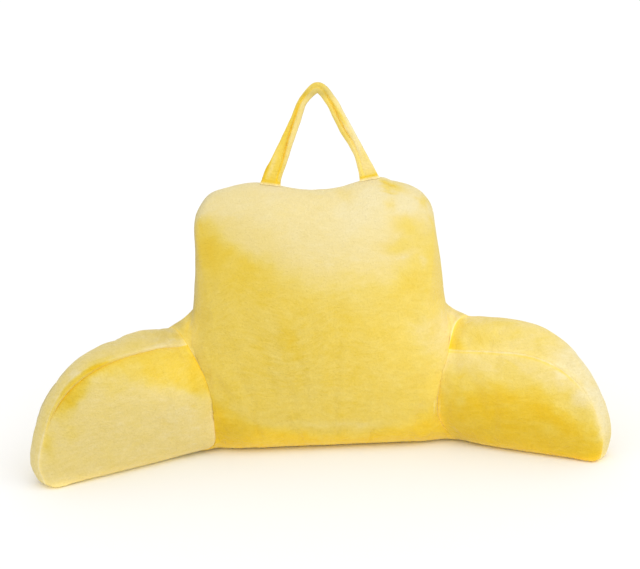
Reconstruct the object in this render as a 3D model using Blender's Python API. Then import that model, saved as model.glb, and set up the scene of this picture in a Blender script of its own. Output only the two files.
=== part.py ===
"""Reading pillow with arms: a filled plush backrest, two filled arms and a strap handle.

Metres, +Z up. The pillow stands on the floor plane z = 0 and faces -Y. Each filled piece is one
loft of sections. A section starts at the front foot on the floor, climbs the front panel to the
crest and comes down the rear panel to the rear foot. The sections fan out from the middle line of
the foot, so that one sweep follows an arm's top, the backrest's side and its top.
"""

from collections import namedtuple
from math import asin, atan2, copysign, cos, exp, hypot, pi, radians, sin, sqrt

import bmesh
import bpy

COLLECTION = "reading_pillow"
PLUSH_COLOUR = (0.83, 0.60, 0.13, 1.0)
PLUSH_ROUGHNESS = 0.9

# The gap between neighbouring pieces.
GAP = 0.0003

# How square the sections are: 2 is an ellipse.
BACK_FULLNESS = 2.5
ARM_FULLNESS = 2.5

# The rounding of the bottom edge, as a share of a section's depth, and how far it pulls in.
TUCK_SHARE = 0.25
TUCK_PULL = 0.70

# Sewn channels: how deep and how wide the seams draw the filling in.
ROOT_CHANNEL = 0.004
ROOT_CHANNEL_WIDTH = 0.012
BAND_CHANNEL = 0.003
BAND_CHANNEL_WIDTH = 0.035  # as a share of a section's turn

# Each arm splays forward from its root. Its height stays level over the flat stretch and then
# rounds down to the nose. The seam between the inner panel and the top band runs at a share of
# the section's rise, at the root and at the nose.
Arm = namedtuple(
    "Arm",
    "side splay root_x root_y root_depth tip_depth reach flat height root_height corner nose seam nose_seam",
)
ARMS = {
    "arm_left": Arm(
        -1, radians(37.0), 0.188, -0.103, 0.158, 0.072, 0.271, 0.060, 0.203, 0.196, 2.6, 0.041, 0.915, 0.925
    ),
    "arm_right": Arm(
        1, radians(33.6), 0.185, -0.099, 0.143, 0.069, 0.260, 0.086, 0.202, 0.195, 2.2, 0.044, 0.80, 0.96
    ),
}

# The backrest's crest from an arm's root to the top: its place on the left and on the right, how
# far back it stands, the x of the foot that its section fans from, and how far the front and the
# rear panel stand from that foot.
Crest = namedtuple("Crest", "left_x left_z right_x right_z set_back foot_x front rear")
CRESTS = (
    Crest(0.207, 0.218, 0.202, 0.205, 0.000, 0.176, 0.106, 0.095),
    Crest(0.202, 0.271, 0.197, 0.268, 0.020, 0.145, 0.116, 0.105),
    Crest(0.201, 0.322, 0.191, 0.331, 0.030, 0.110, 0.119, 0.105),
    Crest(0.196, 0.372, 0.190, 0.349, 0.040, 0.080, 0.120, 0.105),
    Crest(0.182, 0.393, 0.174, 0.382, 0.045, 0.060, 0.120, 0.105),
    Crest(0.139, 0.409, 0.134, 0.405, 0.050, 0.040, 0.120, 0.105),
)
DIP = Crest(0.0, 0.3945, 0.0, 0.3945, 0.050, 0.0, 0.120, 0.105)

# The handle is one strap, folded lengthwise towards its top. Each row gives its middle line in the
# plane of the crest, its width across and its thickness. Its feet stand on the crest.
Strap = namedtuple("Strap", "x z width thick")
STRAP_LEFT_FOOT = Strap(-0.0745, None, 0.0310, 0.0070)
STRAP = (
    Strap(-0.0715, 0.4190, 0.0290, 0.0075),
    Strap(-0.0595, 0.4435, 0.0245, 0.0085),
    Strap(-0.0450, 0.4750, 0.0195, 0.0095),
    Strap(-0.0290, 0.5090, 0.0155, 0.0100),
    Strap(-0.0122, 0.5440, 0.0130, 0.0110),
    Strap(0.0096, 0.5615, 0.0160, 0.0120),
    Strap(0.0308, 0.5380, 0.0165, 0.0110),
    Strap(0.0416, 0.5147, 0.0180, 0.0100),
    Strap(0.0523, 0.4917, 0.0190, 0.0095),
    Strap(0.0630, 0.4710, 0.0170, 0.0095),
    Strap(0.0717, 0.4528, 0.0175, 0.0090),
    Strap(0.0790, 0.4330, 0.0215, 0.0080),
)
STRAP_RIGHT_FOOT = Strap(0.0863, None, 0.0300, 0.0070)
STRAP_CREASE = 0.35  # how far the fold line sinks into the front, as a share of the thickness
STRAP_FOOT_BLEND = 0.012  # the height over which the strap turns from the crest's line to its own
STRAP_SQUARENESS = 0.8  # under 1, the strap's oval has flatter sides

# How finely the lofts are cut: rows from the floor to the crest, and sections along the sweep.
BACK_ROWS = 14
PANEL_ROWS = 11
BAND_ROWS = 3
ROW_GRADING = 1.6
CREST_STEPS = 3
ROOT_STEPS = (0.0, 0.006, 0.013, 0.024)
ARM_FLAT_STEPS = 3
ARM_NOSE_STEPS = 14
STRAP_STEPS = 3
STRAP_SIDES = 12
SEAT_STEPS = 8

TOP_FROM = 0.38  # the crest counts as the top from this height up

Section = namedtuple("Section", "crest foot front rear fullness")


def smooth(rows, steps):
    """Reads a smooth curve through rows of numbers, spaced by the distances between their points."""
    knots = [0.0]
    for a, b in zip(rows, rows[1:]):
        knots.append(knots[-1] + hypot(*(q - p for p, q in zip(a[:3], b[:3]))))
    slopes = [slope_at(rows, knots, i) for i in range(len(rows))]
    found = []
    for i in range(len(rows) - 1):
        span = knots[i + 1] - knots[i]
        for step in range(steps):
            t = step / steps
            weights = (
                2 * t**3 - 3 * t**2 + 1,
                (t**3 - 2 * t**2 + t) * span,
                3 * t**2 - 2 * t**3,
                (t**3 - t**2) * span,
            )
            columns = zip(rows[i], slopes[i], rows[i + 1], slopes[i + 1])
            found.append([sum(w * v for w, v in zip(weights, column)) for column in columns])
    found.append(list(rows[-1]))
    return found


def slope_at(rows, knots, i):
    """The slope of each column at row i, from the rows on both of its sides where it has them."""
    if i == 0 or i == len(rows) - 1:
        low, high = (0, 1) if i == 0 else (i - 1, i)
        return [(b - a) / (knots[high] - knots[low]) for a, b in zip(rows[low], rows[high])]
    before, after = knots[i] - knots[i - 1], knots[i + 1] - knots[i]
    slopes = []
    for a, b, c in zip(rows[i - 1], rows[i], rows[i + 1]):
        slopes.append(((b - a) / before * after + (c - b) / after * before) / (before + after))
    return slopes


def section_point(section, turn, pinch=0.0):
    """A point of the section: turn is -1 at the front foot, 0 at the crest and 1 at the rear foot."""
    angle = (1 - abs(turn)) * pi / 2
    rise = sin(angle) ** (2 / section.fullness) if abs(turn) < 1 else 0.0
    spread = cos(angle) ** (2 / section.fullness) if turn else 0.0
    foot_x, foot_y = section.foot
    edge_x, edge_y = section.front if turn < 0 else section.rear
    crest_x, crest_y, crest_z = section.crest
    depth = hypot(edge_x - foot_x, edge_y - foot_y)
    rise *= 1 - pinch / hypot(crest_x - foot_x, crest_y - foot_y, crest_z)
    spread *= 1 - pinch / depth
    x = foot_x + (crest_x - foot_x) * rise + (edge_x - foot_x) * spread
    y = foot_y + (crest_y - foot_y) * rise + (edge_y - foot_y) * spread
    z = crest_z * rise
    tuck = TUCK_SHARE * 2 * depth
    if z < tuck:
        pull = tuck * TUCK_PULL * (1 - sqrt(1 - (1 - z / tuck) ** 2))
        away = hypot(x - foot_x, y - foot_y)
        x += (foot_x - x) * pull / away
        y += (foot_y - y) * pull / away
    return x, y, z


def turns_with(seam=None):
    """The rows' turns, closer together at the bottom edge. A seam has a row on each side of it."""
    if seam is None:
        front = [-1 + (row / BACK_ROWS) ** ROW_GRADING for row in range(BACK_ROWS + 1)]
    else:
        low, high = seam - BAND_CHANNEL_WIDTH, seam + BAND_CHANNEL_WIDTH
        front = [-1 + (low + 1) * (row / PANEL_ROWS) ** ROW_GRADING for row in range(PANEL_ROWS + 1)]
        front.append(seam)
        front += [high * (1 - row / BAND_ROWS) for row in range(BAND_ROWS + 1)]
    return front + [-turn for turn in reversed(front[:-1])]


def ring_of(section, seam=None, pinch=0.0):
    """One closed ring of the loft: the section's points, and the foot between its two ends."""
    ring = []
    for turn in turns_with(seam):
        channel = BAND_CHANNEL if seam is not None and abs(turn) == abs(seam) else 0.0
        ring.append(section_point(section, turn, pinch + channel))
    ring.append((*section.foot, 0.0))
    return ring


def channel_at(distance):
    """How far the root seam draws a section in, at this distance from it."""
    return ROOT_CHANNEL * exp(-((distance / ROOT_CHANNEL_WIDTH) ** 2))


def arm_section(arm, along, lift=pi / 2):
    """The arm's section at this distance from its root. Past the flat stretch, lift is the angle
    of its crest round the nose, from pi / 2 over the flat stretch down to 0 at the floor."""
    ahead = (arm.side * cos(arm.splay), -sin(arm.splay))
    inward = (-arm.side * sin(arm.splay), -cos(arm.splay))
    advance = cos(lift) ** (2 / arm.corner) if lift < pi / 2 else 0.0
    rise = sin(lift) ** (2 / arm.corner) if lift > 0 else 0.0
    last_foot = arm.reach - arm.nose
    along += (last_foot - arm.flat) * advance
    level = min(along / arm.flat, 1.0)
    height = arm.root_height + (arm.height - arm.root_height) * level**2 * (3 - 2 * level)
    taper = (along / last_foot) ** 1.2
    half = (arm.root_depth + (arm.tip_depth - arm.root_depth) * taper) / 2
    start = (
        arm.side * arm.root_x - inward[0] * arm.root_depth / 2,
        arm.root_y - inward[1] * arm.root_depth / 2,
    )
    foot = tuple(s + a * along for s, a in zip(start, ahead))
    crest = tuple(f + a * arm.nose * advance for f, a in zip(foot, ahead))
    front = tuple(f + n * half for f, n in zip(foot, inward))
    rear = tuple(f - n * half for f, n in zip(foot, inward))
    return Section((*crest, height * rise), foot, front, rear, ARM_FULLNESS)


def band_turn(arm, share):
    """The turn of the band's seam; share is 0 over the flat stretch and 1 at the nose."""
    seam = arm.seam + (arm.nose_seam - arm.seam) * share
    return asin(seam ** (ARM_FULLNESS / 2)) * 2 / pi - 1


def arm_rings(arm):
    """An arm's rings, from its root seam over the flat stretch and round the nose to the floor."""
    distances = [step + GAP for step in ROOT_STEPS]
    first = distances[-1]
    distances += [first + (arm.flat - first) * step / ARM_FLAT_STEPS for step in range(1, ARM_FLAT_STEPS)]
    rings = []
    for along in distances:
        rings.append(ring_of(arm_section(arm, along), band_turn(arm, 0.0), channel_at(along)))
    for step in range(ARM_NOSE_STEPS + 1):
        share = step / ARM_NOSE_STEPS
        section = arm_section(arm, arm.flat, pi / 2 * (1 - share))
        rings.append(ring_of(section, band_turn(arm, share), channel_at(arm.flat)))
    return rings


def crest_row(crest, side):
    """The numbers of the backrest's section under this crest, on the left (-1) or the right (1)."""
    x, z = (crest.left_x, crest.left_z) if side < 0 else (crest.right_x, crest.right_z)
    foot = side * crest.foot_x
    return (side * x, crest.set_back, z, foot, 0.0, foot, -crest.front, foot, crest.rear)


def root_row(arm):
    """The numbers of the backrest's last section, which meets this arm."""
    section = arm_section(arm, 0.0)
    return (*section.crest, *section.foot, *section.front, *section.rear)


def backrest_sections():
    """The backrest's sections, from the left root seam over the top to the right root seam."""
    rows = [root_row(ARMS["arm_left"])]
    rows += [crest_row(crest, -1) for crest in CRESTS]
    rows.append(crest_row(DIP, -1))
    rows += [crest_row(crest, 1) for crest in reversed(CRESTS)]
    rows.append(root_row(ARMS["arm_right"]))
    sections = []
    for row in smooth(rows, CREST_STEPS):
        sections.append(Section(tuple(row[:3]), tuple(row[3:5]), tuple(row[5:7]), tuple(row[7:9]), BACK_FULLNESS))
    return sections


def backrest_rings():
    sections = backrest_sections()
    rings = []
    for section in sections:
        roots = (sections[0], sections[-1])
        near = min(hypot(*(a - b for a, b in zip(section.crest, root.crest))) for root in roots)
        rings.append(ring_of(section, pinch=channel_at(near)))
    return rings


def crest_height(x):
    """The height of the top's crest at this x, on the straight line between two sections."""
    crests = [section.crest for section in backrest_sections() if section.crest[2] > TOP_FROM]
    left, right = next(pair for pair in zip(crests, crests[1:]) if pair[0][0] <= x <= pair[1][0])
    return left[2] + (right[2] - left[2]) * (x - left[0]) / (right[0] - left[0])


def seat_of(foot):
    """Where a foot of the strap stands on the crest: its height over the floor and its slope."""
    places = [foot.x + foot.width * (step / SEAT_STEPS - 0.5) for step in range(SEAT_STEPS + 1)]
    heights = [crest_height(x) for x in places]
    slope = (heights[-1] - heights[0]) / foot.width
    highest = max(height - slope * (x - foot.x) for x, height in zip(places, heights))
    return highest + GAP, atan2(slope, 1)


def strap_rings():
    """The strap's rings, from its left foot over the loop to its right foot."""
    seats = [seat_of(foot) for foot in (STRAP_LEFT_FOOT, STRAP_RIGHT_FOOT)]
    left, right = STRAP_LEFT_FOOT._replace(z=seats[0][0]), STRAP_RIGHT_FOOT._replace(z=seats[1][0])
    rows = [(row.x, 0.0, row.z, row.width, row.thick) for row in (left, *STRAP, right)]
    line = smooth(rows, STRAP_STEPS)
    rings = []
    for i, (x, _, z, width, thick) in enumerate(line):
        before, after = line[max(i - 1, 0)], line[min(i + 1, len(line) - 1)]
        across = atan2(after[2] - before[2], after[0] - before[0]) - pi / 2
        rising = i < len(line) / 2
        seat, slope = seats[0] if rising else (seats[1][0], seats[1][1] - pi)
        near = exp(-(((z - seat) / STRAP_FOOT_BLEND) ** 2))
        rings.append(strap_ring(x, z, width, thick, across + near * (slope - across)))
    return rings


def strap_ring(x, z, width, thick, tilt):
    """An oval across the strap, its width turned by tilt, with the fold line pressed into its front."""
    ring = []
    for i in range(STRAP_SIDES):
        angle = 2 * pi * i / STRAP_SIDES
        across = copysign(abs(cos(angle)) ** STRAP_SQUARENESS, cos(angle)) * width / 2
        out = copysign(abs(sin(angle)) ** STRAP_SQUARENESS, sin(angle)) * thick / 2
        if i == STRAP_SIDES * 3 // 4:
            out += thick * STRAP_CREASE
        ring.append((x + across * cos(tilt), DIP.set_back + out, z + across * sin(tilt)))
    return ring


def loft(name, rings, material, collection):
    """A closed body: quads between neighbouring rings, and a fan from a ring's last point on each end."""
    mesh = bmesh.new()
    points = [[mesh.verts.new(point) for point in ring] for ring in rings]
    size = len(points[0])
    for near, far in zip(points, points[1:]):
        for i in range(size):
            j = (i + 1) % size
            mesh.faces.new((near[i], near[j], far[j], far[i]))
    for ring in (points[0], points[-1]):
        for i in range(size - 2):
            mesh.faces.new((ring[-1], ring[i], ring[i + 1]))
    bmesh.ops.recalc_face_normals(mesh, faces=mesh.faces)
    data = bpy.data.meshes.new(name)
    mesh.to_mesh(data)
    mesh.free()
    data.shade_smooth()
    data.materials.append(material)
    piece = bpy.data.objects.new(name, data)
    collection.objects.link(piece)
    return piece


def plush():
    material = bpy.data.materials.new("plush")
    material.use_nodes = True
    shader = material.node_tree.nodes["Principled BSDF"]
    shader.inputs["Base Color"].default_value = PLUSH_COLOUR
    shader.inputs["Roughness"].default_value = PLUSH_ROUGHNESS
    shader.inputs["Metallic"].default_value = 0.0
    return material


def main():
    for existing in list(bpy.data.objects):
        bpy.data.objects.remove(existing, do_unlink=True)
    collection = bpy.data.collections.new(COLLECTION)
    bpy.context.scene.collection.children.link(collection)
    material = plush()
    loft("backrest", backrest_rings(), material, collection)
    for name, arm in ARMS.items():
        loft(name, arm_rings(arm), material, collection)
    loft("carry_handle", strap_rings(), material, collection)


main()
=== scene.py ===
"""The looks of the reading pillow with arms: refined plush bodies with their seams, the folded
strap, the floor, the light and the camera.

Metres, +Z up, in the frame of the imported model. Every body repeats the source's sections on a finer
grid, and then takes its lumps, swelling, seams and creases. A grid's rings follow one another along
the sweep, and its rows run from the front foot over the crest to the rear foot.
"""

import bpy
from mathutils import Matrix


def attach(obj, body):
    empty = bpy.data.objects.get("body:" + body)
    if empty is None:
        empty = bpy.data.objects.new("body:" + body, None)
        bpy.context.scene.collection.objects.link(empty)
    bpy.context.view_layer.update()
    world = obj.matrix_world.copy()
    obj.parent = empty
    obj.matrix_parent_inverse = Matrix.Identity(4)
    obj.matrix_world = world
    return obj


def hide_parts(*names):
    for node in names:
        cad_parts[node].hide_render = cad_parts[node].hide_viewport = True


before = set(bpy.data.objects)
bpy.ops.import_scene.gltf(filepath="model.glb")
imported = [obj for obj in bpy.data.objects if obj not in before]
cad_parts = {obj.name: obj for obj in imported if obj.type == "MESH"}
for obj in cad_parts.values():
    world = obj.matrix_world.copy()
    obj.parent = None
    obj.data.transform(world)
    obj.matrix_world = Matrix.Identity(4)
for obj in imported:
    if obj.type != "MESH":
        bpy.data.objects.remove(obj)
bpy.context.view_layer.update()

from collections import namedtuple
from math import atan2, cos, hypot, pi, radians, sin

import bmesh
import bpy
import numpy as np
from mathutils import Matrix, Vector, noise
from mathutils.bvhtree import BVHTree

CAMERA_AZIMUTH = radians(1.67)
CAMERA_ELEVATION = radians(16.37)
CAMERA_ROLL = radians(2.96)
CAMERA_DISTANCE = 2.466
CAMERA_TARGET = Vector((-0.0012, 0.0, 0.2483))
CAMERA_LENS = 85.37
CAMERA_SENSOR = 36.0
CAMERA_CLIP = (0.05, 100.0)

# ---- The source's measures, which the refined bodies follow ----

GAP = 0.0003
FULLNESS = 2.5
TUCK_SHARE = 0.25
TUCK_PULL = 0.70
ARM_TAPER = 1.2
TINY = 1e-9

Arm = namedtuple(
    "Arm",
    "side splay root_x root_y root_depth tip_depth reach flat height root_height corner nose "
    "seam nose_seam",
)
ARM_LEFT = Arm(
    -1, radians(37.0), 0.188, -0.103, 0.158, 0.072, 0.271, 0.060, 0.203, 0.196, 2.6, 0.041,
    0.915, 0.925,
)
ARM_RIGHT = Arm(
    1, radians(33.6), 0.185, -0.099, 0.143, 0.069, 0.260, 0.086, 0.202, 0.195, 2.2, 0.044,
    0.80, 0.96,
)

# The backrest's sections from an arm's root to the middle of the crest: the crest's point on the
# left and on the right and how far back it is, the foot, and how deep the foot is.
Crest = namedtuple("Crest", "left_x left_z right_x right_z set_back foot_x front rear")
CRESTS = (
    Crest(0.207, 0.218, 0.202, 0.205, 0.000, 0.176, 0.106, 0.095),
    Crest(0.202, 0.271, 0.197, 0.268, 0.020, 0.145, 0.116, 0.105),
    Crest(0.201, 0.322, 0.191, 0.331, 0.030, 0.110, 0.119, 0.105),
    Crest(0.196, 0.372, 0.190, 0.349, 0.040, 0.080, 0.120, 0.105),
    Crest(0.182, 0.393, 0.174, 0.382, 0.045, 0.060, 0.120, 0.105),
    Crest(0.139, 0.409, 0.134, 0.405, 0.050, 0.040, 0.120, 0.105),
)
DIP = Crest(0.0, 0.3945, 0.0, 0.3945, 0.050, 0.0, 0.120, 0.105)

# The strap's middle line in the plane of the crest, its width and thickness, where its fold line
# runs as a share of the width from the outer edge, and its depth as a share of the thickness.
Strap = namedtuple("Strap", "x z width thick fold depth")
STRAP_LEFT_FOOT = Strap(-0.0752, None, 0.0325, 0.0070, 0.80, 0.05)
STRAP_ROWS = (
    Strap(-0.0715, 0.4190, 0.0290, 0.0075, 0.77, 0.16),
    Strap(-0.0595, 0.4435, 0.0245, 0.0085, 0.72, 0.36),
    Strap(-0.0450, 0.4750, 0.0195, 0.0095, 0.55, 0.48),
    Strap(-0.0290, 0.5090, 0.0155, 0.0100, 0.36, 0.40),
    Strap(-0.0122, 0.5440, 0.0130, 0.0110, 0.32, 0.25),
    Strap(0.0096, 0.5615, 0.0160, 0.0120, 0.40, 0.20),
    Strap(0.0308, 0.5380, 0.0165, 0.0110, 0.54, 0.36),
    Strap(0.0416, 0.5147, 0.0180, 0.0100, 0.58, 0.48),
    Strap(0.0523, 0.4917, 0.0190, 0.0095, 0.58, 0.48),
    Strap(0.0630, 0.4710, 0.0170, 0.0095, 0.55, 0.36),
    Strap(0.0717, 0.4528, 0.0175, 0.0090, 0.65, 0.26),
    Strap(0.0790, 0.4330, 0.0215, 0.0080, 0.74, 0.16),
)
STRAP_RIGHT_FOOT = Strap(0.0868, None, 0.0312, 0.0070, 0.78, 0.05)
STRAP_FOOT_BLEND = 0.012
STRAP_SQUARENESS = 0.8

# ---- The refined grids ----

SEAM_STEP = 0.0008
PLUSH_STEP = 0.0034
SEAM_REACH = 0.030

# A nose's curve is about this share of its reach and height together.
NOSE_PATH = 0.86

# A section's rows: their step next to a seam, their step away from it and where that is reached, as
# shares of the stretch.
PANEL_ROWS = (0.004, 0.018, 0.15)
BAND_ROWS = (0.012, 0.045, 0.4)
BACK_ROWS = (0.006, 0.012, 0.3)

STRAP_STEP = 0.0014
STRAP_SIDES = 72
STRAP_PILE = 0.0020
STRAP_PILE_REACH = 0.02
STRAP_FLARE = 0.0030
STRAP_FLARE_HEIGHT = 0.0030
STRAP_FOLD_WIDTH = 0.0019
STRAP_FOLD_TONE_WIDTH = 0.0016
STRAP_FOLD_FROM = 0.5

# The strap stands on the middle of the crest, which is read between these shares of its length.
CREST_MIDDLE = (0.3, 0.7)
CREST_POINTS = 400
SEAT_STEPS = 8
SEAT_SEARCH = 0.03
SEAT_CLEAR = 0.0002
SEAT_BLEND = 0.006

# Root seams: how deep the cover is drawn in at the left one and the right one, over which distance
# on the backrest and on the arm, and the soft roll beside it on the backrest.
ROOT_DEPTH = (0.0007, 0.0002)
ROOT_CREST_SHARE = 0.4
ROOT_CREST_FROM = (0.10, 0.45)
ROOT_BACK_WIDTH = 0.0012
ROOT_ARM_WIDTH = 0.0022
ROOT_ROLL_AT = 0.0032
ROOT_ROLL_WIDTH = 0.0022
ROOT_ROLL_FROM = (-0.1, -0.4)

# The root seams bow over the front: by height, how far a seam runs to the right of its section's
# plane, and how far from that plane the bow reaches.
LEFT_BOW = (
    (0.000, -0.006), (0.008, 0.003), (0.015, 0.0090), (0.025, 0.0105), (0.044, 0.0103),
    (0.069, 0.0105), (0.090, 0.0118), (0.120, 0.0095), (0.150, 0.002), (0.175, -0.004),
    (0.230, -0.004),
)
RIGHT_BOW = (
    (0.000, 0.017), (0.018, 0.0095), (0.036, 0.0005), (0.052, -0.0055), (0.070, -0.0072),
    (0.100, -0.0062), (0.120, -0.0035), (0.140, 0.0012), (0.165, 0.0030), (0.190, 0.0012),
    (0.230, -0.006),
)
BOW_REACH = 0.045
BOW_FRONT = (-0.02, 0.03)
BOW_POINTS = 200


def smoothstep(x, low, high):
    t = np.clip((x - low) / (high - low), 0, 1)
    return t * t * (3 - 2 * t)


def bell(distance, middle, width):
    return np.exp(-(((distance - middle) / width) ** 2))


def table(rows, x, column=1):
    """A column of the rows, read at x in their first column."""
    rows = np.array(rows)
    return np.interp(x, rows[:, 0], rows[:, column])


def curve_through(rows):
    """A smooth curve through rows of numbers as a function of distance, and its whole length."""
    rows = np.array(rows, float)
    spans = np.linalg.norm(np.diff(rows[:, :3], axis=0), axis=1)
    knots = np.concatenate([[0.0], np.cumsum(spans)])
    steps = np.diff(rows, axis=0) / spans[:, None]
    slopes = np.empty_like(rows)
    slopes[0], slopes[-1] = steps[0], steps[-1]
    before, after = spans[:-1, None], spans[1:, None]
    slopes[1:-1] = (steps[:-1] * after + steps[1:] * before) / (before + after)

    def at(distance):
        i = np.clip(np.searchsorted(knots, distance, side="right") - 1, 0, len(spans) - 1)
        t = ((distance - knots[i]) / spans[i])[:, None]
        span = spans[i][:, None]
        start = (2 * t**3 - 3 * t**2 + 1) * rows[i] + (t**3 - 2 * t**2 + t) * span * slopes[i]
        end = (3 * t**2 - 2 * t**3) * rows[i + 1] + (t**3 - t**2) * span * slopes[i + 1]
        return start + end

    return at, knots[-1]


def places(length, seams, fine, coarse, reach):
    """Distances from 0 to length, in steps that are fine next to a seam and coarse away from it."""
    found = [0.0]
    while found[-1] < length:
        away = min(abs(found[-1] - seam) for seam in seams)
        found.append(found[-1] + fine + (coarse - fine) * min(away / reach, 1.0))
    return np.array(found) * (length / found[-1])


def section_points(crest, foot, front, rear, turns, pinch):
    """Points (ring, row, 3) of the sections: a turn of -1 is the front foot, 0 the crest and 1 the
    rear foot. pinch is how far each point is drawn in towards the section's foot."""
    angle = (1 - np.abs(turns)) * pi / 2
    rise = np.sin(angle) ** (2 / FULLNESS)
    spread = np.abs(np.cos(angle)) ** (2 / FULLNESS)
    ahead = (turns < 0)[..., None]
    edge = np.where(ahead, front[:, None], rear[:, None])
    foot = foot[:, None]
    depth = np.linalg.norm(edge - foot, axis=2)
    tall = np.hypot(np.linalg.norm(crest[:, :2] - foot[:, 0], axis=1), crest[:, 2])[:, None]
    rise = rise * (1 - pinch / tall)
    spread = spread * (1 - pinch / depth)
    level = foot + (crest[:, None, :2] - foot) * rise[..., None] + (edge - foot) * spread[..., None]
    z = crest[:, None, 2] * rise
    tuck = TUCK_SHARE * 2 * depth
    low = np.clip(1 - z / tuck, 0, 1)
    pull = tuck * TUCK_PULL * (1 - np.sqrt(1 - low**2))
    away = np.maximum(np.linalg.norm(level - foot, axis=2), TINY)
    level = level + (foot - level) * (pull / away)[..., None]
    return np.concatenate([level, z[..., None]], axis=2)


def mirrored(front):
    """The turns of the front half and, the other way round, of the rear half."""
    return np.concatenate([front, -front[..., -2::-1]], axis=-1)


def arm_frame(arm):
    """The arm's directions ahead and inward, and the middle of its root section."""
    ahead = np.array((arm.side * cos(arm.splay), -sin(arm.splay)))
    inward = np.array((-arm.side * sin(arm.splay), -cos(arm.splay)))
    middle = np.array((arm.side * arm.root_x, arm.root_y)) - inward * arm.root_depth / 2
    return ahead, inward, middle


def arm_sections(arm, along, lift):
    """The arm's sections at distances from its root and angles of its crest round the nose."""
    ahead, inward, middle = arm_frame(arm)
    advance = np.clip(np.cos(lift), 0, 1) ** (2 / arm.corner)
    rise = np.clip(np.sin(lift), 0, 1) ** (2 / arm.corner)
    last_foot = arm.reach - arm.nose
    along = along + (last_foot - arm.flat) * advance
    level = np.minimum(along / arm.flat, 1.0)
    height = arm.root_height + (arm.height - arm.root_height) * level**2 * (3 - 2 * level)
    taper = (along / last_foot) ** ARM_TAPER
    half = ((arm.root_depth + (arm.tip_depth - arm.root_depth) * taper) / 2)[:, None]
    foot = middle + ahead * along[:, None]
    crest_level = foot + ahead * (arm.nose * advance)[:, None]
    crest = np.concatenate([crest_level, (height * rise)[:, None]], axis=1)
    return crest, foot, foot + inward * half, foot - inward * half


def band_turn(arm, share):
    seam = arm.seam + (arm.nose_seam - arm.seam) * share
    return np.arcsin(seam ** (FULLNESS / 2)) * 2 / pi - 1


def root_pinch(distance, turns, depth, width):
    """How far the root seam draws a point in; over the crest it is shallow."""
    low = smoothstep(np.abs(turns), *ROOT_CREST_FROM)
    share = ROOT_CREST_SHARE + (1 - ROOT_CREST_SHARE) * low
    return depth * share * np.exp(-distance / width)


def back_pinch(distance, turns, depth):
    roll = depth * bell(distance, ROOT_ROLL_AT, ROOT_ROLL_WIDTH)
    drawn = root_pinch(distance, turns, depth, ROOT_BACK_WIDTH)
    return drawn - roll * smoothstep(turns, *ROOT_ROLL_FROM)


def bowed(points):
    """The points with both root seams bowed sideways over the front."""
    shift = np.zeros(points.shape[:-1])
    for arm, bow in ((ARM_LEFT, LEFT_BOW), (ARM_RIGHT, RIGHT_BOW)):
        ahead, inward, middle = arm_frame(arm)
        away = points[..., :2] - middle
        at, length = curve_through([(*row, 0.0) for row in bow])
        rows = at(np.linspace(0, length, BOW_POINTS))
        reach = bell(away @ ahead, 0.0, BOW_REACH) * smoothstep(away @ inward, *BOW_FRONT)
        shift += np.interp(points[..., 2], rows[:, 0], rows[:, 1]) * reach
    return points + shift[..., None] * np.array((1.0, 0.0, 0.0))


def arm_grid(arm):
    """The arm's points, their distances from the band's seam and the root seam, and their feet."""
    flat = places(arm.flat - GAP, (0.0,), SEAM_STEP, PLUSH_STEP, SEAM_REACH) + GAP
    nose_steps = round((arm.reach - arm.flat + arm.height) * NOSE_PATH / PLUSH_STEP)
    share = np.arange(nose_steps + 1) / nose_steps
    along = np.concatenate([flat[:-1], np.full(nose_steps + 1, arm.flat)])
    turned = np.concatenate([np.zeros(len(flat) - 1), share])
    crest, foot, front, rear = arm_sections(arm, along, pi / 2 * (1 - turned))
    seam = band_turn(arm, turned)[:, None]
    panel = 1 - places(1.0, (0.0,), *PANEL_ROWS)[::-1]
    band = places(1.0, (0.0,), *BAND_ROWS)
    turns = mirrored(np.concatenate([-1 + (seam + 1) * panel[:-1], seam * (1 - band)], axis=1))
    depth = ROOT_DEPTH[arm.side > 0]
    pinch = root_pinch(along[:, None], turns, depth, ROOT_ARM_WIDTH)
    points = bowed(section_points(crest, foot, front, rear, turns, pinch))
    at = len(panel) - 1
    return points, seam_distance(points, at), np.broadcast_to(along[:, None], turns.shape), foot


def seam_distance(points, at):
    """Each point's distance from the band's seam along its ring, negative on the panels."""
    steps = np.linalg.norm(np.diff(points, axis=1), axis=2)
    run = np.concatenate([np.zeros((len(points), 1)), np.cumsum(steps, axis=1)], axis=1)
    rows = points.shape[1]
    from_front = run - run[:, at : at + 1]
    from_rear = run[:, rows - 1 - at : rows - at] - run
    return np.minimum(from_front, from_rear)


def crest_row(crest, side):
    x, z = (crest.left_x, crest.left_z) if side < 0 else (crest.right_x, crest.right_z)
    foot = side * crest.foot_x
    return (side * x, crest.set_back, z, foot, 0.0, foot, -crest.front, foot, crest.rear)


def root_row(arm):
    crest, foot, front, rear = arm_sections(arm, np.zeros(1), np.full(1, pi / 2))
    return (*crest[0], *foot[0], *front[0], *rear[0])


def backrest_curve():
    left = [root_row(ARM_LEFT), *(crest_row(crest, -1) for crest in CRESTS)]
    right = [root_row(ARM_RIGHT), *(crest_row(crest, 1) for crest in CRESTS)]
    return curve_through([*left, crest_row(DIP, -1), *reversed(right)])


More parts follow.
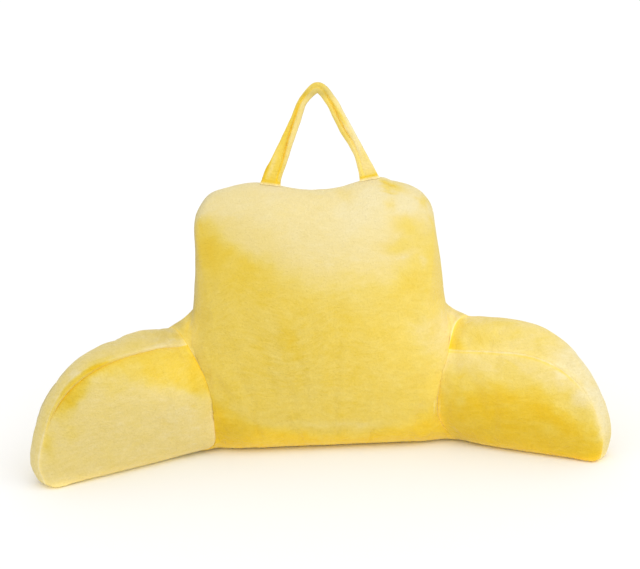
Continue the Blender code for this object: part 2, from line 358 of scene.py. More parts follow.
def backrest_grid():
    """The backrest's points, their distances from the nearer root seam, and their feet."""
    at, length = backrest_curve()
    distances = places(length, (0.0, length), SEAM_STEP, PLUSH_STEP, SEAM_REACH)
    rows = at(distances)
    crest, foot, front, rear = rows[:, :3], rows[:, 3:5], rows[:, 5:7], rows[:, 7:9]
    turns = mirrored(places(1.0, (0.0,), *BACK_ROWS) - 1)
    away = np.minimum(distances, length - distances)
    turns = np.broadcast_to(turns, (len(distances), len(turns)))
    depth = np.where(distances < length / 2, *ROOT_DEPTH)
    pinch = back_pinch(away[:, None], turns, depth[:, None])
    points = bowed(section_points(crest, foot, front, rear, turns, pinch))
    return points, np.broadcast_to(away[:, None], turns.shape), foot


def crest_height(x):
    at, length = backrest_curve()
    low, high = CREST_MIDDLE
    crest = at(np.linspace(length * low, length * high, CREST_POINTS))
    return np.interp(x, crest[:, 0], crest[:, 2])


def seat_of(foot):
    """Where a foot of the strap stands on the crest: its height and its slope."""
    x = foot.x + foot.width * (np.arange(SEAT_STEPS + 1) / SEAT_STEPS - 0.5)
    heights = crest_height(x)
    slope = (heights[-1] - heights[0]) / foot.width
    return max(heights - slope * (x - foot.x)) + GAP, atan2(slope, 1)


def strap_frames():
    """Along the strap: its middle, width, thickness and fold, its tilt, and how far a foot is."""
    left_seat, right_seat = seat_of(STRAP_LEFT_FOOT), seat_of(STRAP_RIGHT_FOOT)
    left = STRAP_LEFT_FOOT._replace(z=left_seat[0])
    right = STRAP_RIGHT_FOOT._replace(z=right_seat[0])
    rows = [(row.x, 0.0, row.z, *row[2:]) for row in (left, *STRAP_ROWS, right)]
    at, length = curve_through(rows)
    distances = np.linspace(0, length, round(length / STRAP_STEP))
    line = at(distances)
    heading = np.gradient(line[:, [0, 2]], axis=0)
    across = np.arctan2(heading[:, 1], heading[:, 0]) - pi / 2
    rising = np.arange(len(line)) < len(line) / 2
    seat = np.where(rising, left_seat[0], right_seat[0])
    slope = np.where(rising, left_seat[1], right_seat[1] - pi)
    near = bell(line[:, 2], seat, STRAP_FOOT_BLEND)
    return line, across + near * (slope - across), np.minimum(distances, length - distances)


def strap_grid():
    """The strap's points, an oval with a fold pressed into its front. With them come 0 in the fold
    to 1 on the lobes, their distances from the fold, and the rings' from the nearer foot."""
    line, tilt, from_foot = strap_frames()
    angle = 2 * pi * np.arange(STRAP_SIDES) / STRAP_SIDES
    side, out = np.cos(angle), np.sin(angle)
    side = np.sign(side) * np.abs(side) ** STRAP_SQUARENESS
    out = np.sign(out) * np.abs(out) ** STRAP_SQUARENESS
    width, thick, fold, depth = (line[:, i : i + 1] for i in (3, 4, 5, 6))
    width = width + STRAP_PILE * smoothstep(from_foot, 0.0, STRAP_PILE_REACH)[:, None]
    width = width + STRAP_FLARE * np.exp(-from_foot / STRAP_FLARE_HEIGHT)[:, None]
    away = ((side + 1) / 2 - fold) * width
    front = smoothstep(-out, 0.0, STRAP_FOLD_FROM)
    pressed = bell(away, 0.0, STRAP_FOLD_WIDTH) * front
    across = side * width / 2
    deep = out * thick / 2 + depth * thick * pressed
    points = np.empty((*across.shape, 3))
    points[..., 0] = line[:, 0:1] + across * np.cos(tilt)[:, None]
    points[..., 1] = DIP.set_back + deep
    points[..., 2] = line[:, 2:3] + across * np.sin(tilt)[:, None]
    lobe = 1 - bell(away, 0.0, STRAP_FOLD_TONE_WIDTH) * front
    return points, lobe, away, from_foot[:, None]


# ---- The nap ----

# Where the pile is brushed up it looks pale, where it lies down it looks deep yellow.
# Tones run from 0, deep, to 1, pale. They are laid on in the front view, in centimetres across and
# up from the camera's target, each layer over the ones before it, and are kept at the mesh's
# points, so that they stay on the cloth in every view.

# A wash has one tone above the line through its stops, where None leaves what is there, and one
# below. A stop is its place across and up, and how far the change reaches on each side of the line.
Wash = namedtuple("Wash", "above below stops")

# Any other row is a dab, an oval: its middle, half width, half height, slant in degrees and tone.
Dab = namedtuple("Dab", "across up wide tall slant tone")

BACK_TONE = 0.36
BACK_NAP = (
    # Partly painted sheen, partly the pile's own tone: paler over the top, where the cover turns up.
    Wash(0.84, 0.37, (
        (-20.3, 11.2, 1.3), (-17.0, 10.2, 2.0), (-14.3, 8.2, 3.2), (-10.6, 4.9, 4.4),
        (-6.5, 2.6, 5.2), (-3.0, 1.2, 5.8), (2.0, 0.4, 6.0), (7.0, 0.3, 5.6), (11.0, 0.9, 5.0),
        (14.0, 3.2, 3.6), (19.0, 8.0, 2.8),
    )),
    (-17.9, 5.4, 1.7, 3.4, 24, 0.13), (-20.4, -10.4, 1.5, 2.2, 0, 0.47),
    (19.9, -12.4, 1.3, 2.0, 0, 0.52), (21.7, -5.3, 1.0, 1.0, 0, 0.90),
    (-11.6, 0.8, 4.4, 2.0, -18, 0.28), (-15.2, 5.0, 1.4, 1.0, 0, 0.20),
    (-11.6, 2.4, 1.6, 0.8, -30, 0.22), (-4.6, -9.4, 0.9, 3.6, 28, 0.25),
    (-7.0, -3.2, 3.2, 1.6, -20, 0.31), (3.0, -7.5, 5.5, 2.6, 12, 0.33),
    (-1.6, -19.0, 1.4, 3.4, 4, 0.44), (5.6, 11.2, 2.8, 2.2, 0, 0.95),
    (14.6, 9.4, 2.0, 1.5, -10, 0.46), (13.6, 7.0, 1.7, 1.0, 20, 0.56),
    (16.2, 7.4, 1.3, 1.4, 0, 0.50), (18.3, 3.6, 1.5, 6.4, -4, 0.42),
    (16.3, -0.6, 1.5, 1.1, 0, 0.34), (13.4, -4.8, 4.4, 2.2, -10, 0.47),
    (13.2, 4.3, 1.2, 0.5, 6, 0.80), (16.9, 3.7, 0.9, 1.0, 0, 0.64), (8.4, 14.2, 3.0, 2.4, 0, 0.97),
    (-7.4, 15.6, 1.8, 1.3, 0, 0.95), (14.6, 13.0, 2.6, 1.6, 0, 0.96),
    (11.7, 12.7, 0.8, 0.8, 0, 0.70), (16.9, 13.2, 0.9, 0.9, 0, 0.46),
    (4.1, 14.8, 1.2, 1.0, 20, 0.76), (11.2, 16.3, 2.0, 0.6, -18, 0.42),
    (18.4, -8.2, 3.0, 3.4, -30, 0.66), (20.6, -6.6, 1.3, 3.4, -15, 0.72),
    (-10.5, 8.0, 5.0, 2.0, -12, 0.73), (13.4, 6.2, 3.0, 1.2, 8, 0.50),
    # Partly painted shade, partly the pile's own tone: deeper along the bottom, where the cover turns
    # under.
    Wash(None, 0.09, (
        (-18.0, -18.4, 1.2), (-15.6, -20.4, 1.5), (-13.0, -22.0, 1.6), (-9.0, -23.2, 1.2),
        (-4.0, -23.9, 1.0), (0.0, -24.4, 0.9), (5.0, -24.6, 0.9), (10.0, -24.0, 1.2),
        (14.0, -23.0, 1.8), (18.0, -20.6, 2.4), (21.5, -18.0, 2.4),
    )),
    (-16.2, -23.4, 1.4, 2.4, 14, 0.02), (6.0, -22.7, 7.0, 0.6, 3, 0.44),
)

LEFT_PANEL_TONE = 0.70
LEFT_PANEL_NAP = (
    Wash(0.28, 0.70, (
        (-42.0, -20.0, 0.8), (-40.0, -18.0, 1.0), (-37.5, -15.3, 1.2), (-35.0, -14.6, 1.4),
        (-32.0, -14.8, 1.6), (-29.0, -15.6, 1.6), (-26.0, -16.4, 1.8), (-22.5, -17.6, 1.6),
        (-18.5, -18.0, 1.4),
    )),
    (-30.5, -13.6, 1.2, 1.2, 0, 0.40), (-33.0, -16.8, 2.6, 1.4, 0, 0.56),
    (-41.6, -20.6, 1.4, 1.8, 0, 0.50), (-20.4, -14.4, 1.0, 3.2, 20, 0.15),
    (-19.4, -19.9, 1.5, 1.1, 0, 0.46), (-22.6, -22.6, 4.0, 3.4, 0, 0.75),
    (-39.8, -17.4, 2.2, 1.1, 45, 0.24), (-24.0, -20.5, 4.5, 1.6, 8, 0.74),
    (-40.5, -24.2, 1.2, 1.2, 0, 0.56), (-44.0, -25.8, 0.8, 1.4, 0, 0.44),
    (-41.0, -17.7, 1.3, 3.0, -42, 0.06),
)

LEFT_BAND_TONE = 0.70
LEFT_BAND_NAP = (
    (-23.0, -8.2, 1.6, 1.2, 0, 0.42), (-26.6, -8.0, 1.6, 0.6, 0, 0.54),
    (-29.6, -9.8, 1.6, 0.5, 14, 0.56), (-25.5, -9.6, 3.0, 0.5, 4, 0.80),
    (-32.0, -11.2, 1.4, 0.6, 14, 0.58), (-36.2, -13.0, 1.8, 0.7, 22, 0.42),
    (-40.0, -14.6, 1.0, 1.0, 40, 0.80), (-43.2, -18.4, 0.8, 1.2, 30, 0.62),
    (-44.4, -21.0, 0.9, 3.0, 14, 0.60),
)

RIGHT_PANEL_TONE = 0.12
RIGHT_PANEL_NAP = (
    Wash(0.66, 0.05, (
        (18.0, -15.6, 3.4), (22.0, -15.0, 3.4), (26.0, -15.6, 3.4), (30.0, -16.2, 3.2),
        (34.0, -16.9, 3.0), (38.0, -18.2, 2.8), (41.0, -20.8, 2.6), (43.0, -23.6, 2.0),
        (46.0, -26.0, 1.6),
    )),
    (20.6, -16.8, 1.0, 2.2, 0, 0.36), (22.8, -19.0, 1.0, 0.8, 0, 0.28),
    (23.6, -16.4, 1.4, 1.2, 0, 0.34), (30.0, -13.6, 2.4, 0.7, -24, 0.50),
    (37.5, -24.0, 1.2, 1.0, 0, 0.18), (23.0, -22.8, 2.4, 0.9, 6, 0.15),
    (39.0, -15.0, 1.4, 1.0, -40, 0.84), (42.6, -18.0, 1.4, 2.0, 20, 0.80),
    (42.6, -21.6, 1.2, 1.6, 0, 0.44), (39.6, -18.6, 1.4, 1.2, 0, 0.42),
    (43.8, -24.2, 1.4, 1.4, 0, 0.14), (45.8, -22.0, 0.8, 2.8, 12, 0.88),
    (43.8, -17.8, 1.4, 2.0, 30, 0.86), (43.0, -28.6, 4.0, 0.8, -8, -0.10),
)

RIGHT_BAND_TONE = 0.64
RIGHT_BAND_NAP = (
    (22.6, -7.0, 1.3, 2.2, -16, 0.24), (21.8, -10.4, 1.8, 1.1, 0, 0.12),
    (26.4, -8.4, 2.8, 1.8, 10, 0.42), (28.8, -6.2, 1.6, 0.7, 0, 0.44),
    (31.8, -7.6, 0.8, 0.6, 0, 0.50), (36.6, -9.3, 1.0, 0.8, -20, 0.54),
    (41.4, -12.6, 3.6, 3.0, -40, 0.92), (44.6, -17.0, 1.4, 3.6, 22, 0.95),
    (45.6, -20.4, 1.4, 3.4, 12, 0.98),
)

# The strap's tones across the front view: across, the outer lobe, the inner lobe and the fold.
STRAP_TONES = (
    (-9.0, 0.24, 0.44, 0.02), (-7.0, 0.28, 0.44, -0.02), (-4.6, 0.20, 0.66, -0.02),
    (-2.8, 0.24, 0.66, 0.14), (0.0, 0.42, 0.50, 0.36), (2.2, 0.74, 0.50, 0.24),
    (4.0, 0.84, 0.52, 0.34), (5.6, 0.86, 0.60, 0.60), (9.0, 0.60, 0.56, 0.38),
)
STRAP_NAP = (
    (-8.7, 18.8, 2.8, 0.32, 69, 0.05), (-7.9, 18.9, 2.2, 0.32, 69, 0.60),
    (2.9, 28.0, 2.8, 0.30, -57, 0.28), (0.6, 32.9, 2.4, 0.24, -20, 0.64),
)
# Painted light and shade on the strap: how much brighter or darker its colour is along its outer edge
# on the left, and round its top.
STRAP_PAINTED_SHADING = (
    (-8.4, 20.0, 5.4, 0.34, 66, 0.98), (-4.2, 29.0, 3.2, 0.34, 60, 0.98),
    (-0.6, 31.9, 2.4, 1.1, 0, 1.02), (-0.8, 31.1, 2.0, 0.6, 0, 0.86),
    (3.0, 25.5, 3.6, 0.36, -62, 1.04),
)
STRAP_END_TONE = 0.88
STRAP_END = (0.0015, 0.0045)
STRAP_BAND_TONE = 0.12
STRAP_BAND_AT = 0.0058
STRAP_BAND_WIDTH = 0.0019
# Painted light: the strap's colour brightened overall, in its fold and at its feet; painted shade at
# its rim.
STRAP_PAINTED_LIGHT = 1.15
STRAP_FOLD_PAINTED_LIGHT = 0.16
STRAP_END_PAINTED_LIGHT = 0.16
STRAP_END_PAINTED_LIGHT_WIDTH = 0.0025
STRAP_RIM_PAINTED_SHADE = 0.30
STRAP_LOBE_EDGE = 0.001
STRAP_FREE = (0.0, 0.01)
STRAP_LUMPS = ((0.0004, 0.012),)
STRAP_MOTTLE = ((0.12, 0.016),)
STRAP_SHIMMER = ((0.06, 0.03),)
STRAP_GRAIN = 0.8

# Noise shifts the edges of washes and dabs: how far, in centimetres, and how broadly, in metres.
EDGE_WAVER = ((0.9, 0.032), (0.5, 0.011))

# The rear, which the front view doesn't reach, has one wash and soft clouds. The wash is paler
# towards the top and deeper towards the bottom, partly painted light and shade as on the front.
REAR_TONE_TOP = 0.74
REAR_TONE_BOTTOM = 0.30
REAR_TONE_FROM = (0.05, 0.36)
REAR_CLOUDS = ((0.22, 0.11), (0.1, 0.04))

# Painted light and shade: how much brighter or darker the colour is than its usual 1. Dabs and
# washes as above.
BACK_PAINTED_SHADING = (
    (-9.0, -20.5, 9.0, 4.0, 0, 0.94), (-14.0, -4.0, 6.0, 12.0, 0, 0.96),
    (-8.0, -11.0, 6.0, 9.0, 0, 0.94), (1.0, 13.0, 10.0, 4.4, 0, 1.05),
    (-18.2, 0.0, 3.0, 8.0, 0, 0.93), (10.0, 5.0, 9.0, 12.0, 0, 1.08),
    (16.5, -7.0, 6.5, 11.0, 0, 1.12), (19.2, -15.5, 1.6, 4.6, -6, 1.17),
    (20.3, -7.2, 0.6, 3.2, -4, 1.16), (21.3, -7.6, 0.45, 2.5, -3, 1.40),
    (-23.9, -7.5, 1.3, 1.9, 14, 0.90), (-21.0, -7.6, 0.9, 2.8, 4, 1.10),
    (-21.5, -5.7, 0.6, 1.2, 0, 1.22),
    Wash(None, 1.13, (
        (-18.0, -20.5, 1.6), (-9.0, -23.4, 1.2), (0.0, -24.6, 1.0), (10.0, -24.0, 1.2),
        (21.5, -19.5, 2.4),
    )),
    (-13.6, -23.0, 4.6, 2.2, 12, 0.93),
)
ARM_PAINTED_SHADING = (
    (-34.0, -25.0, 13.0, 6.0, 10, 0.92), (-42.0, -20.0, 4.0, 7.0, -30, 0.90),
    (-30.0, -9.4, 8.0, 1.9, 10, 0.92), (-25.0, -8.4, 3.4, 1.4, 6, 0.88),
    (-34.8, -10.8, 4.0, 1.4, 20, 0.90), (-40.0, -31.0, 6.0, 1.8, 8, 0.90),
    (-40.5, -14.6, 5.0, 2.4, 45, 0.90), (-45.6, -22.0, 1.6, 6.0, 10, 0.90),
    (-23.5, -14.4, 5.0, 3.0, 8, 1.13), (30.0, -10.5, 11.0, 6.6, -16, 1.15),
    (31.0, -6.2, 9.0, 0.9, -8, 1.08), (35.0, -16.0, 9.0, 5.0, -24, 1.14),
    (41.0, -19.6, 2.4, 3.4, 20, 1.16), (31.0, -24.6, 9.0, 2.4, 0, 0.98),
    (43.5, -19.5, 2.6, 4.0, 20, 1.04), (41.0, -28.8, 5.0, 1.8, -8, 0.90),
)

# Painted shade: the colour is darkened where the cover turns away towards the front view's outline,
# and along the left flank, kept at the mesh's points too.
RIM_PAINTED_SHADE = 0.12
RIM_WIDTH = 0.20
RIM_FROM = (-0.3, 0.0)
FLANK_PAINTED_SHADE = 0.25
FLANK_LEFT = (0.1, 0.8)
FLANK_FROM = (-0.9, -0.1)
FLANK_TO = (0.05, 0.70)

# Between these the cover turns to face the front view enough to take what is laid on there.
SEEN_FROM = (-0.15, 0.10)

# How a dab thins out towards its rim.
DAB_POWER = 1.2
DAB_THINNING = 0.7


def camera_axes():
    """The camera's right, up and back directions."""
    level = cos(CAMERA_ELEVATION)
    right = np.array((cos(CAMERA_AZIMUTH), sin(CAMERA_AZIMUTH), 0.0))
    back = np.array((right[1] * level, -right[0] * level, sin(CAMERA_ELEVATION)))
    up = np.cross(back, right)
    turned_right = right * cos(CAMERA_ROLL) - up * sin(CAMERA_ROLL)
    turned_up = right * sin(CAMERA_ROLL) + up * cos(CAMERA_ROLL)
    return turned_right, turned_up, back


def front_view(points):
    """Where points are in the front view, across and up, in centimetres at the target."""
    right, up, back = camera_axes()
    away = points - np.array(CAMERA_TARGET)
    scale = 100 * CAMERA_DISTANCE / (CAMERA_DISTANCE - away @ back)
    return away @ right * scale, away @ up * scale


def seen_in_front(normal):
    """1 where the cover faces the front view, 0 where it turns away."""
    return smoothstep(normal @ camera_axes()[2], *SEEN_FROM)


# Painted shade at the outline and on the left flank, taken off the colour's brightness.
def painted_rim_and_flank_shade(normal, rim_shade=RIM_PAINTED_SHADE):
    right, _, back = camera_axes()
    facing = normal @ back
    rim = np.exp(-np.maximum(facing, 0) / RIM_WIDTH) * smoothstep(facing, *RIM_FROM)
    flank = smoothstep(-(normal @ right), *FLANK_LEFT) * smoothstep(facing, *FLANK_FROM)
    flank = flank * (1 - smoothstep(facing, *FLANK_TO))
    return rim_shade * rim + FLANK_PAINTED_SHADE * flank


def laid(tone, layer, across, up):
    """The tones with one more layer over them."""
    if isinstance(layer, Wash):
        stops = np.array(layer.stops)
        line = np.interp(across, stops[:, 0], stops[:, 1])
        soft = np.interp(across, stops[:, 0], stops[:, 2])
        share = smoothstep((up - line) / soft, -1, 1)
        above = tone if layer.above is None else layer.above
        return layer.below + (above - layer.below) * share
    dab = Dab(*layer)
    slant = radians(dab.slant)
    x, y = across - dab.across, up - dab.up
    along = (x * cos(slant) + y * sin(slant)) / dab.wide
    over = (y * cos(slant) - x * sin(slant)) / dab.tall
    share = np.exp(-((along**2 + over**2) ** DAB_POWER) * DAB_THINNING)
    return tone + (dab.tone - tone) * share


def painted(tone, layers, across, up):
    for layer in layers:
        tone = laid(tone, layer, across, up)
    return tone


def painted_shading_of(points, normal, layers):
    """The painted light and shade at every point: how much its colour is brightened or darkened."""
    painted_shading = painted(1.0, layers, *front_view(points))
    return 1 + (painted_shading - 1) * seen_in_front(normal) - painted_rim_and_flank_shade(normal)


def nap_of(points, normal, tone, layers, seed):
    """The nap's tone at every point."""
    across, up = front_view(points)
    across = across + lumps(points, EDGE_WAVER, seed)
    up = up + lumps(points, EDGE_WAVER, seed + 2)
    front = painted(tone, layers, across, up)
    height = smoothstep(points[..., 2], *REAR_TONE_FROM)
    rear = REAR_TONE_BOTTOM + (REAR_TONE_TOP - REAR_TONE_BOTTOM) * height
    rear = rear + lumps(points, REAR_CLOUDS, seed + 4)
    return rear + (front - rear) * seen_in_front(normal)


# ---- Meshes ----

NOISE_STEP = (7.3, 3.1, 5.7)
SHARP_ANGLE = radians(60)


def normals_of(points, side=1):
    """The outward normals of a grid."""
    along = np.gradient(points, axis=0)
    round_ = np.gradient(points, axis=1)
    normal = np.cross(along, round_) * side
    return normal / np.maximum(np.linalg.norm(normal, axis=2, keepdims=True), TINY)


def lumps(points, layers, seed):
    """The sum of layers of smooth noise, each with its strength, its size in metres and a seed."""
    total = np.zeros(points.shape[:-1])
    for i, (strength, size) in enumerate(layers):
        shift = Vector([(seed + i) * step for step in NOISE_STEP])
        flat = points.reshape(-1, 3) / size
        values = [noise.noise(Vector(point) + shift) for point in flat]
        total += strength * np.array(values).reshape(total.shape)
    return total


def grid_faces(rings, size):
    """Quads between neighbouring rings, and a fan on each end."""
    index = np.arange(rings * size).reshape(rings, size)
    around = np.roll(index, -1, axis=1)
    quads = np.stack([index[:-1], around[:-1], around[1:], index[1:]], axis=2)
    faces = quads.reshape(-1, 4).tolist()
    for ring in (index[0], index[-1]):
        faces += [(ring[-1], ring[i], ring[i + 1]) for i in range(size - 2)]
    return faces


def add_object(name, data):
    found = bpy.data.objects.new(name, data)
    bpy.context.scene.collection.objects.link(found)
    return found


def build(name, points, foot=None, values=None):
    """A closed body. foot is each ring's middle on the floor, which closes the rings of a body that
    stands there. values are kept at the points, for the material."""
    if foot is not None:
        floor = np.concatenate([foot, np.zeros((len(foot), 1))], axis=1)
        points = np.concatenate([points, floor[:, None]], axis=1)
    data = bpy.data.meshes.new(name)
    data.from_pydata(points.reshape(-1, 3).tolist(), [], grid_faces(*points.shape[:2]))
    mesh = bmesh.new()
    mesh.from_mesh(data)
    bmesh.ops.recalc_face_normals(mesh, faces=mesh.faces)
    mesh.to_mesh(data)
    mesh.free()
    for key, value in (values or {}).items():
        if foot is not None:
            value = np.concatenate([value, value[:, :1]], axis=1)
        layer = data.attributes.new(key, "FLOAT", "POINT")
        layer.data.foreach_set("value", value.astype(np.float32).ravel())
    data.shade_smooth()
    data.set_sharp_from_angle(angle=SHARP_ANGLE)
    return add_object(name, data)


# ---- The filling ----

# A coarse copy of each body is blown up as cloth, held at its seams and on the floor, and the body
# takes over how the cover then swells and puckers beside them.
CLOTH_STEP = 0.008
CLOTH_PRESSURE = 4.0
CLOTH_SLACK = -0.015
CLOTH_QUALITY = 6
CLOTH_MASS = 0.3
CLOTH_STRETCH_STIFFNESS = 15
CLOTH_SHEAR_STIFFNESS = 5
CLOTH_BENDING_STIFFNESS = 0.8
CLOTH_FRAMES = 20
CLOTH_CAP = 0.0025
CLOTH_LEVELLING = 14

# How firmly the cover is held: wholly at the roots and the floor, up to where it is let go.
ROOT_HOLD_REACH = (0.0, 0.006)
FLOOR_HOLD_REACH = (0.002, 0.010)
SEAM_HOLD = 0.9
SEAM_HOLD_WIDTH = 0.005
BODY_HOLD = 0.16


def picked(at, step):
    """Which of these growing distances lie about a step apart, with the first and the last."""
    wanted = np.linspace(at[0], at[-1], max(2, round((at[-1] - at[0]) / step)) + 1)
    return np.unique(np.abs(at[:, None] - wanted).argmin(axis=0))


def run_along(points, axis):
    """The mean distance run along the grid's rings or rows."""
    steps = np.linalg.norm(np.diff(points, axis=axis), axis=2).mean(axis=1 - axis)
    return np.concatenate([[0.0], np.cumsum(steps)])


def read_between(values, coarse, fine, axis):
    """Values known at coarse distances along an axis, read smoothly at fine ones."""
    rows = np.moveaxis(values, axis, 0)
    lead = np.zeros((len(coarse), 3))
    lead[:, 0] = coarse
    at, _ = curve_through(np.concatenate([lead, rows.reshape(len(coarse), -1)], axis=1))
    found = at(fine)[:, 3:].reshape(len(fine), *rows.shape[1:])
    return np.moveaxis(found, 0, axis)


def levelled(values):
    """The values smoothed over a wide reach of the grid."""
    for _ in range(CLOTH_LEVELLING):
        for axis in (0, 1):
            padding = [(1, 1) if axis == i else (0, 0) for i in range(values.ndim)]
            wide = np.moveaxis(np.pad(values, padding, mode="edge"), axis, 0)
            values = np.moveaxis((wide[:-2] + 2 * wide[1:-1] + wide[2:]) / 4, 0, axis)
    return values


def add_cloth(piece, hold):
    """Cloth under pressure on a piece. hold is how firmly each of its points is held."""
    group = piece.vertex_groups.new(name="hold")
    for i, weight in enumerate(hold.tolist()):
        group.add((i,), weight, "REPLACE")
    modifier = piece.modifiers.new("cloth", "CLOTH")
    modifier.collision_settings.use_collision = False
    modifier.point_cache.frame_end = CLOTH_FRAMES
    settings = modifier.settings
    settings.quality = CLOTH_QUALITY
    settings.mass = CLOTH_MASS
    settings.tension_stiffness = CLOTH_STRETCH_STIFFNESS
    settings.compression_stiffness = CLOTH_STRETCH_STIFFNESS
    settings.shear_stiffness = CLOTH_SHEAR_STIFFNESS
    settings.bending_stiffness = CLOTH_BENDING_STIFFNESS
    settings.use_pressure = True
    settings.uniform_pressure_force = CLOTH_PRESSURE
    settings.effector_weights.gravity = 0
    settings.shrink_min = CLOTH_SLACK
    settings.vertex_group_mass = "hold"


def blown_up(points, foot, hold):
    """The points of a closed grid after the cloth simulation."""
    piece = build("filling", points, foot)
    add_cloth(piece, np.concatenate([hold, np.ones((len(hold), 1))], axis=1).ravel())
    scene = bpy.context.scene
    for number in range(1, CLOTH_FRAMES + 1):
        scene.frame_set(number)
    shape = piece.evaluated_get(bpy.context.evaluated_depsgraph_get()).to_mesh()
    found = np.empty(len(shape.vertices) * 3, np.float32)
    shape.vertices.foreach_get("co", found)
    bpy.data.objects.remove(piece, do_unlink=True)
    scene.frame_set(1)
    return found.reshape(len(points), -1, 3)[:, :-1].astype(float)


def swelling(points, foot, normal, root, seam=None):
    """How far the filled cover stands out at every point, apart from the body's own form."""
    along, across = run_along(points, 0), run_along(points, 1)
    rings, rows = picked(along, CLOTH_STEP), picked(across, CLOTH_STEP)
    coarse = points[np.ix_(rings, rows)]
    floor_hold = 1 - smoothstep(points[..., 2], *FLOOR_HOLD_REACH)
    held = np.maximum(1 - smoothstep(root, *ROOT_HOLD_REACH), floor_hold)
    if seam is not None:
        held = np.maximum(held, SEAM_HOLD * bell(seam, 0.0, SEAM_HOLD_WIDTH))
    held = np.maximum(held, BODY_HOLD)
    filled = blown_up(coarse, foot[rings], held[np.ix_(rings, rows)])
    out = np.einsum("ijk,ijk->ij", filled - coarse, normal[np.ix_(rings, rows)])
    out = np.clip(out - levelled(out), -CLOTH_CAP, CLOTH_CAP)
    out = read_between(out, along[rings], along, 0)
    return read_between(out, across[rows], across, 1)


# ---- Creases ----

# Short lines in the front view, with their depth in metres, their width in centimetres and what
# they add to the tone.
Crease = namedtuple("Crease", "across up to_across to_up depth width tone")
BACK_CREASES = (
    (9.3, 17.15, 13.2, 16.2, 0.0016, 0.22, -0.35), (9.5, 15.5, 13.2, 15.1, 0.0013, 0.20, -0.30),
    (15.9, 4.7, 17.7, 3.7, 0.0006, 0.16, 0.14), (12.6, 4.2, 14.6, 4.6, 0.0005, 0.14, 0.14),
    (-13.0, -22.6, 16.0, -22.9, 0.0006, 0.45, 0.16), (-20.0, 11.6, -19.0, 8.0, 0.0008, 0.25, -0.15),
    (17.6, 11.6, 18.6, 9.2, 0.0007, 0.2, -0.18), (-4.0, -8.0, -6.4, -12.4, 0.0006, 0.4, -0.10),
    (18.7, -18.6, 18.5, -21.2, -0.0003, 0.10, 0.42),
)
ARM_CREASES = (
    (19.5, -18.6, 19.4, -21.2, -0.0003, 0.10, 0.42), (28.8, -11.4, 32.8, -14.0, 0.0005, 0.2, -0.14),
    (22.0, -15.6, 24.0, -14.2, 0.0005, 0.25, -0.12),
    (37.4, -12.6, 41.0, -15.4, 0.0007, 0.18, -0.22), (26.0, -20.0, 33.0, -19.5, 0.0004, 0.3, 0.10),
    (28.0, -22.2, 38.0, -22.8, 0.0004, 0.3, 0.10), (-25.0, -9.0, -29.0, -10.0, 0.0006, 0.25, -0.14),
    (-21.6, -19.2, -19.4, -20.4, 0.0006, 0.35, -0.12),
)


def creased(points, creases):
    """How deep the creases press every point in, and what they add to its tone."""
    across, up = front_view(points)
    depth, tone = np.zeros(across.shape), np.zeros(across.shape)
    for crease in map(Crease._make, creases):
        way = np.array((crease.to_across - crease.across, crease.to_up - crease.up))
        length = hypot(*way)
        x, y = across - crease.across, up - crease.up
        along = (x * way[0] + y * way[1]) / length**2
        away = (y * way[0] - x * way[1]) / length
        share = bell(away, 0.0, crease.width) * np.clip(4 * along * (1 - along), 0, 1)
        depth += crease.depth * share
        tone += crease.tone * share
    return depth, tone


# ---- Tones along the seams ----

# By height, the tone of a root seam's ridge on the backrest and of its edge on the arm.
RIDGE_LEFT = ((0.00, 0.0), (0.03, 0.06), (0.08, 0.10), (0.10, 0.26), (0.14, 0.24), (0.20, 0.0))
RIDGE_RIGHT = (
    (0.00, 0.0), (0.03, 0.1), (0.05, 0.34), (0.12, 0.36), (0.14, 0.28), (0.17, 0.28), (0.20, 0.14),
)
# On the arm the deeper edge tones are painted shadow beside the seam, under the backrest's
# overhanging edge.
EDGE_LEFT = ((0.00, 0.1), (0.06, 0.16), (0.085, -0.10), (0.12, -0.22), (0.17, -0.15), (0.20, 0.0))
EDGE_RIGHT = ((0.00, 0.0), (0.05, 0.16), (0.14, 0.20), (0.155, -0.26), (0.165, -0.15), (0.20, 0.0))
RIDGE_AT = 0.0034
RIDGE_WIDTH = 0.0030
EDGE_WIDTH = 0.0040

# Down in the left root seam the tone is a deeper yellow, painted shade, and in the right one a little
# paler. Around the seams the colour is brightened, painted light, narrowly and in a wider haze. Pairs
# are for the left and the right root seam.
CREASE_TONE = (-0.16, 0.06)
CREASE_WIDTH = 0.0007
BAND_SEAM_PAINTED_LIGHT = 0.13
BAND_SEAM_PAINTED_LIGHT_WIDTH = 0.006
ROOT_PAINTED_LIGHT = (0.24, 0.42)
ROOT_PAINTED_LIGHT_WIDTH = 0.0026
ROOT_PAINTED_LIGHT_FROM = (0.0, 0.05)
BACK_PAINTED_HAZE = (0.07, 0.0)
ARM_PAINTED_HAZE = (0.07, 0.15)
PAINTED_HAZE_WIDTH = 0.009

# Painted light: the colour just above the floor is brightened too, less so on the rear.
FOOT_PAINTED_LIGHT = 0.80
FOOT_PAINTED_LIGHT_HEIGHT = 0.007
REAR_PAINTED_LIGHT = 0.2

# Along the left band: how strongly the painted shadow in the crease under its lip is laid, and how
# far the lip stands from the seam.
LIP_ALONG = (
    (-45.0, 0.0, 0.0030), (-43.2, 0.4, 0.0080), (-41.5, 1.0, 0.0125), (-37.0, 1.0, 0.0105),
    (-34.0, 0.45, 0.0045), (-30.0, 0.12, 0.0020), (-22.0, 0.1, 0.0014),
)
LIP_TONE = 0.18
LIP_WIDTH = 0.0022
# Painted shadow: a deep tone laid in the crease under the lip.
UNDER_LIP_PAINTED_SHADE = -0.58
UNDER_SHARE = 0.42
UNDER_WIDTH = 0.0056

